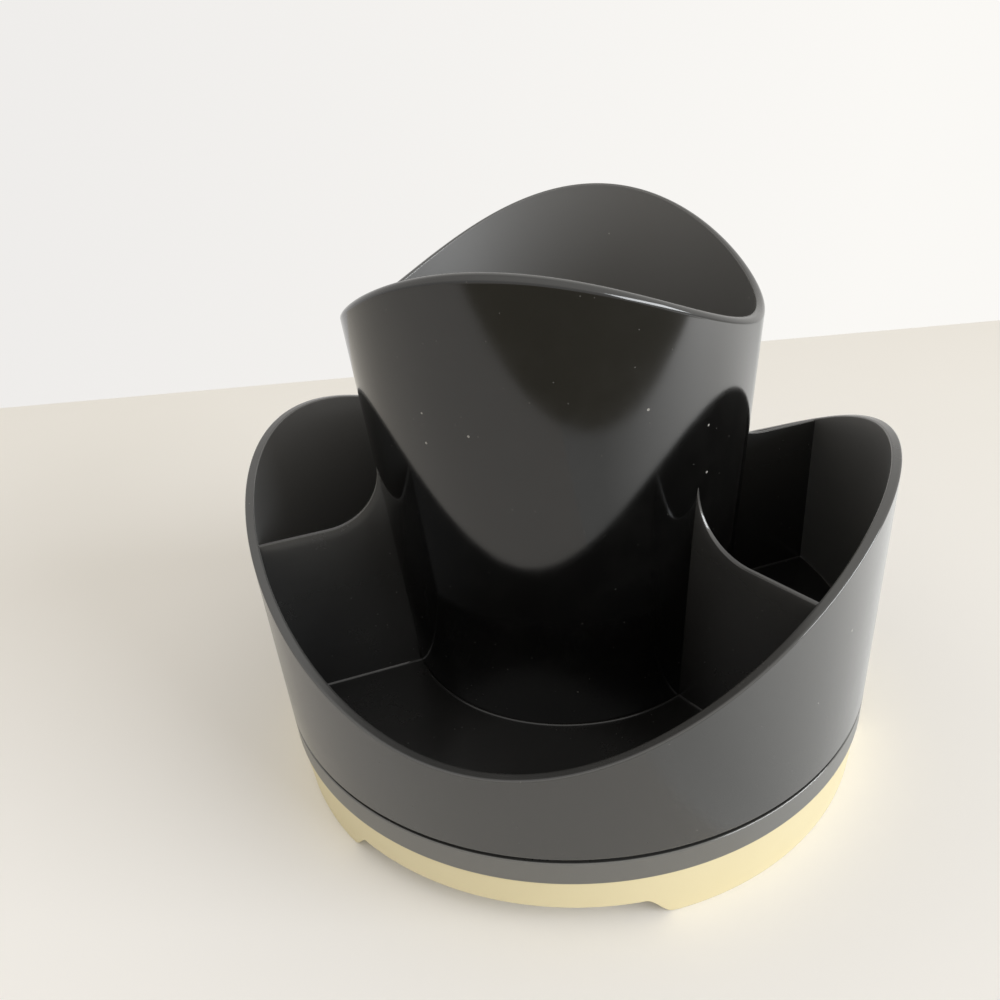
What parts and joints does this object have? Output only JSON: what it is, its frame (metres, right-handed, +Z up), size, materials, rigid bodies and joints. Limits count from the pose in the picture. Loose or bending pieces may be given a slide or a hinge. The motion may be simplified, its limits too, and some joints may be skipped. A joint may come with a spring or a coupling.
{
  "type": "rotating pen holder",
  "caption": "Desk pen holder that spins on its base: glossy black drum with a wave-shaped rim, tall centre cup, radial dividers and a cream foot",
  "frame": {"origin": "on the table under the spin axis", "axes": "+Z up along the spin axis, -Y to the front"},
  "size_m": [0.145, 0.1444, 0.1233],
  "materials": {
    "gloss_black": "glossy black moulded styrene, mirror-like with fine dust",
    "ring_black": "black moulded styrene, slightly softer gloss",
    "cream": "cream moulded plastic, fine matte skin",
    "steel": "zinc-plated steel",
    "nylon": "natural white nylon"
  },
  "bodies": {
    "base": {"base_housing": "ring_black", "foot_plate": "cream", "base_screws": "steel", "pivot_screw": "steel", "pivot_washer": "steel"},
    "carousel": {"outer_drum": "gloss_black", "centre_cup": "gloss_black", "divider_front_left": "gloss_black", "divider_front_right": "gloss_black", "divider_back_left": "gloss_black", "divider_back_right": "gloss_black", "hub_bush": "nylon"},
    "bearing": {"ball_cage": "nylon", "bearing_balls": "steel"}
  },
  "joints": [
    {"name": "drum_spin", "type": "hinge", "parent": "base", "child": "carousel", "pos_m": [0, 0, 0.0178], "axis": [0, 0, 1], "continuous": true},
    {"name": "cage_orbit", "type": "hinge", "parent": "base", "child": "bearing", "pos_m": [0, 0, 0.0178], "axis": [0, 0, 1], "continuous": true}
  ],
  "couplings": [
    {"joint": "cage_orbit", "follows": "drum_spin", "ratio": 0.5}
  ]
}
